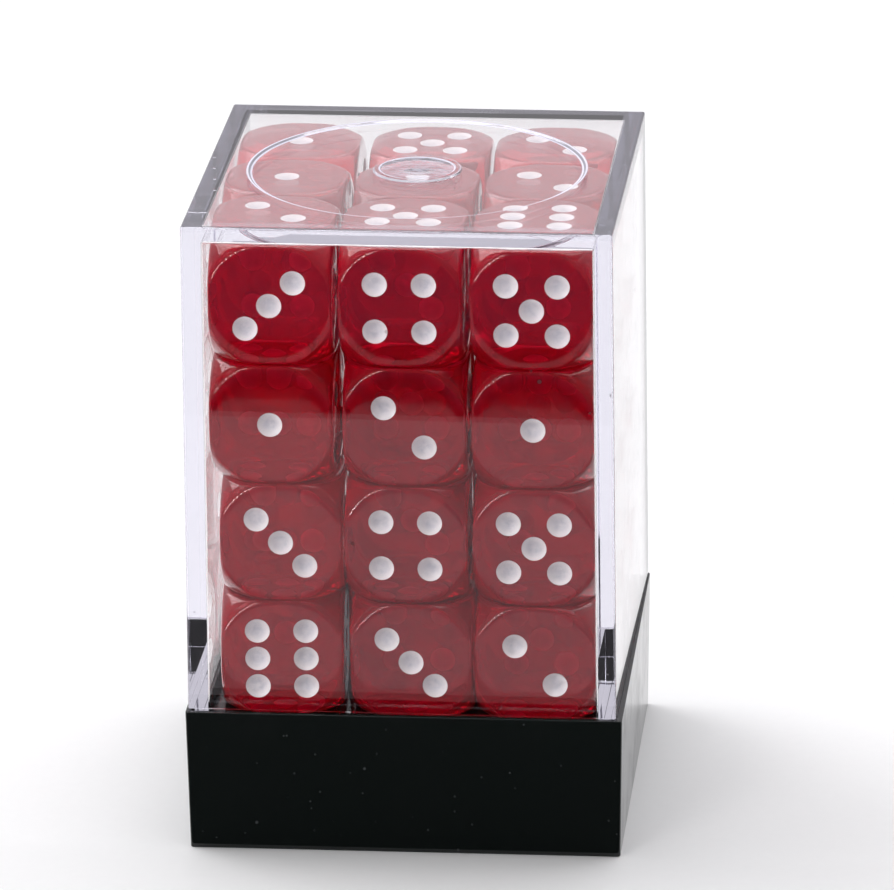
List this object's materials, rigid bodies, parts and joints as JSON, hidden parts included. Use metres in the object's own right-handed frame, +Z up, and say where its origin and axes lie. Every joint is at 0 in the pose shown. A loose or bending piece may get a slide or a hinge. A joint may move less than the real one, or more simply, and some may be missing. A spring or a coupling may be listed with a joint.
{
  "type": "boxed dice set",
  "caption": "Clear box with a black base and a lift-off cover, packed with a block of small translucent red dice with white pips.",
  "frame": {"origin": "centre of the base's underside, on the surface that the box stands on", "axes": "+Z up through the cover's top, +X to the right and -Y to the front of the box"},
  "size_m": [0.0426, 0.0426, 0.0635],
  "materials": {
    "base_plastic": "moulded black, polished sides with fine scratches",
    "clear_plastic": "water-clear moulding, polished",
    "red_plastic": "translucent red with white painted pips"
  },
  "bodies": {
    "base": {"base": "base_plastic"},
    "cover": {"clear_cover": "clear_plastic"},
    "die_front_left_1": {"die_front_left_1": "red_plastic"},
    "die_front_centre_1": {"die_front_centre_1": "red_plastic"},
    "die_front_right_1": {"die_front_right_1": "red_plastic"},
    "die_middle_left_1": {"die_middle_left_1": "red_plastic"},
    "die_middle_centre_1": {"die_middle_centre_1": "red_plastic"},
    "die_middle_right_1": {"die_middle_right_1": "red_plastic"},
    "die_back_left_1": {"die_back_left_1": "red_plastic"},
    "die_back_centre_1": {"die_back_centre_1": "red_plastic"},
    "die_back_right_1": {"die_back_right_1": "red_plastic"},
    "die_front_left_2": {"die_front_left_2": "red_plastic"},
    "die_front_centre_2": {"die_front_centre_2": "red_plastic"},
    "die_front_right_2": {"die_front_right_2": "red_plastic"},
    "die_middle_left_2": {"die_middle_left_2": "red_plastic"},
    "die_middle_centre_2": {"die_middle_centre_2": "red_plastic"},
    "die_middle_right_2": {"die_middle_right_2": "red_plastic"},
    "die_back_left_2": {"die_back_left_2": "red_plastic"},
    "die_back_centre_2": {"die_back_centre_2": "red_plastic"},
    "die_back_right_2": {"die_back_right_2": "red_plastic"},
    "die_front_left_3": {"die_front_left_3": "red_plastic"},
    "die_front_centre_3": {"die_front_centre_3": "red_plastic"},
    "die_front_right_3": {"die_front_right_3": "red_plastic"},
    "die_middle_left_3": {"die_middle_left_3": "red_plastic"},
    "die_middle_centre_3": {"die_middle_centre_3": "red_plastic"},
    "die_middle_right_3": {"die_middle_right_3": "red_plastic"},
    "die_back_left_3": {"die_back_left_3": "red_plastic"},
    "die_back_centre_3": {"die_back_centre_3": "red_plastic"},
    "die_back_right_3": {"die_back_right_3": "red_plastic"},
    "die_front_left_4": {"die_front_left_4": "red_plastic"},
    "die_front_centre_4": {"die_front_centre_4": "red_plastic"},
    "die_front_right_4": {"die_front_right_4": "red_plastic"},
    "die_middle_left_4": {"die_middle_left_4": "red_plastic"},
    "die_middle_centre_4": {"die_middle_centre_4": "red_plastic"},
    "die_middle_right_4": {"die_middle_right_4": "red_plastic"},
    "die_back_left_4": {"die_back_left_4": "red_plastic"},
    "die_back_centre_4": {"die_back_centre_4": "red_plastic"},
    "die_back_right_4": {"die_back_right_4": "red_plastic"}
  },
  "joints": [
    {"name": "cover_lift", "type": "slide", "parent": "base", "child": "cover", "axis": [0, 0, 1], "range_m": [0, 0.06]},
    {"name": "die_front_left_1_lift", "type": "slide", "parent": "base", "child": "die_front_left_1", "axis": [0, 0, 1], "range_m": [0, 0.00007]},
    {"name": "die_front_left_2_lift", "type": "slide", "parent": "die_front_left_1", "child": "die_front_left_2", "axis": [0, 0, 1], "range_m": [0, 0.00007]},
    {"name": "die_front_left_3_lift", "type": "slide", "parent": "die_front_left_2", "child": "die_front_left_3", "axis": [0, 0, 1], "range_m": [0, 0.00007]},
    {"name": "die_front_left_4_lift", "type": "slide", "parent": "die_front_left_3", "child": "die_front_left_4", "axis": [0, 0, 1], "range_m": [0, 0.00007]},
    {"name": "die_front_centre_1_lift", "type": "slide", "parent": "base", "child": "die_front_centre_1", "axis": [0, 0, 1], "range_m": [0, 0.00007]},
    {"name": "die_front_centre_2_lift", "type": "slide", "parent": "die_front_centre_1", "child": "die_front_centre_2", "axis": [0, 0, 1], "range_m": [0, 0.00007]},
    {"name": "die_front_centre_3_lift", "type": "slide", "parent": "die_front_centre_2", "child": "die_front_centre_3", "axis": [0, 0, 1], "range_m": [0, 0.00007]},
    {"name": "die_front_centre_4_lift", "type": "slide", "parent": "die_front_centre_3", "child": "die_front_centre_4", "axis": [0, 0, 1], "range_m": [0, 0.00007]},
    {"name": "die_front_right_1_lift", "type": "slide", "parent": "base", "child": "die_front_right_1", "axis": [0, 0, 1], "range_m": [0, 0.00007]},
    {"name": "die_front_right_2_lift", "type": "slide", "parent": "die_front_right_1", "child": "die_front_right_2", "axis": [0, 0, 1], "range_m": [0, 0.00007]},
    {"name": "die_front_right_3_lift", "type": "slide", "parent": "die_front_right_2", "child": "die_front_right_3", "axis": [0, 0, 1], "range_m": [0, 0.00007]},
    {"name": "die_front_right_4_lift", "type": "slide", "parent": "die_front_right_3", "child": "die_front_right_4", "axis": [0, 0, 1], "range_m": [0, 0.00007]},
    {"name": "die_middle_left_1_lift", "type": "slide", "parent": "base", "child": "die_middle_left_1", "axis": [0, 0, 1], "range_m": [0, 0.00007]},
    {"name": "die_middle_left_2_lift", "type": "slide", "parent": "die_middle_left_1", "child": "die_middle_left_2", "axis": [0, 0, 1], "range_m": [0, 0.00007]},
    {"name": "die_middle_left_3_lift", "type": "slide", "parent": "die_middle_left_2", "child": "die_middle_left_3", "axis": [0, 0, 1], "range_m": [0, 0.00007]},
    {"name": "die_middle_left_4_lift", "type": "slide", "parent": "die_middle_left_3", "child": "die_middle_left_4", "axis": [0, 0, 1], "range_m": [0, 0.00007]},
    {"name": "die_middle_centre_1_lift", "type": "slide", "parent": "base", "child": "die_middle_centre_1", "axis": [0, 0, 1], "range_m": [0, 0.00007]},
    {"name": "die_middle_centre_2_lift", "type": "slide", "parent": "die_middle_centre_1", "child": "die_middle_centre_2", "axis": [0, 0, 1], "range_m": [0, 0.00007]},
    {"name": "die_middle_centre_3_lift", "type": "slide", "parent": "die_middle_centre_2", "child": "die_middle_centre_3", "axis": [0, 0, 1], "range_m": [0, 0.00007]},
    {"name": "die_middle_centre_4_lift", "type": "slide", "parent": "die_middle_centre_3", "child": "die_middle_centre_4", "axis": [0, 0, 1], "range_m": [0, 0.00007]},
    {"name": "die_middle_right_1_lift", "type": "slide", "parent": "base", "child": "die_middle_right_1", "axis": [0, 0, 1], "range_m": [0, 0.00007]},
    {"name": "die_middle_right_2_lift", "type": "slide", "parent": "die_middle_right_1", "child": "die_middle_right_2", "axis": [0, 0, 1], "range_m": [0, 0.00007]},
    {"name": "die_middle_right_3_lift", "type": "slide", "parent": "die_middle_right_2", "child": "die_middle_right_3", "axis": [0, 0, 1], "range_m": [0, 0.00007]},
    {"name": "die_middle_right_4_lift", "type": "slide", "parent": "die_middle_right_3", "child": "die_middle_right_4", "axis": [0, 0, 1], "range_m": [0, 0.00007]},
    {"name": "die_back_left_1_lift", "type": "slide", "parent": "base", "child": "die_back_left_1", "axis": [0, 0, 1], "range_m": [0, 0.00007]},
    {"name": "die_back_left_2_lift", "type": "slide", "parent": "die_back_left_1", "child": "die_back_left_2", "axis": [0, 0, 1], "range_m": [0, 0.00007]},
    {"name": "die_back_left_3_lift", "type": "slide", "parent": "die_back_left_2", "child": "die_back_left_3", "axis": [0, 0, 1], "range_m": [0, 0.00007]},
    {"name": "die_back_left_4_lift", "type": "slide", "parent": "die_back_left_3", "child": "die_back_left_4", "axis": [0, 0, 1], "range_m": [0, 0.00007]},
    {"name": "die_back_centre_1_lift", "type": "slide", "parent": "base", "child": "die_back_centre_1", "axis": [0, 0, 1], "range_m": [0, 0.00007]},
    {"name": "die_back_centre_2_lift", "type": "slide", "parent": "die_back_centre_1", "child": "die_back_centre_2", "axis": [0, 0, 1], "range_m": [0, 0.00007]},
    {"name": "die_back_centre_3_lift", "type": "slide", "parent": "die_back_centre_2", "child": "die_back_centre_3", "axis": [0, 0, 1], "range_m": [0, 0.00007]},
    {"name": "die_back_centre_4_lift", "type": "slide", "parent": "die_back_centre_3", "child": "die_back_centre_4", "axis": [0, 0, 1], "range_m": [0, 0.00007]},
    {"name": "die_back_right_1_lift", "type": "slide", "parent": "base", "child": "die_back_right_1", "axis": [0, 0, 1], "range_m": [0, 0.00007]},
    {"name": "die_back_right_2_lift", "type": "slide", "parent": "die_back_right_1", "child": "die_back_right_2", "axis": [0, 0, 1], "range_m": [0, 0.00007]},
    {"name": "die_back_right_3_lift", "type": "slide", "parent": "die_back_right_2", "child": "die_back_right_3", "axis": [0, 0, 1], "range_m": [0, 0.00007]},
    {"name": "die_back_right_4_lift", "type": "slide", "parent": "die_back_right_3", "child": "die_back_right_4", "axis": [0, 0, 1], "range_m": [0, 0.00007]}
  ]
}
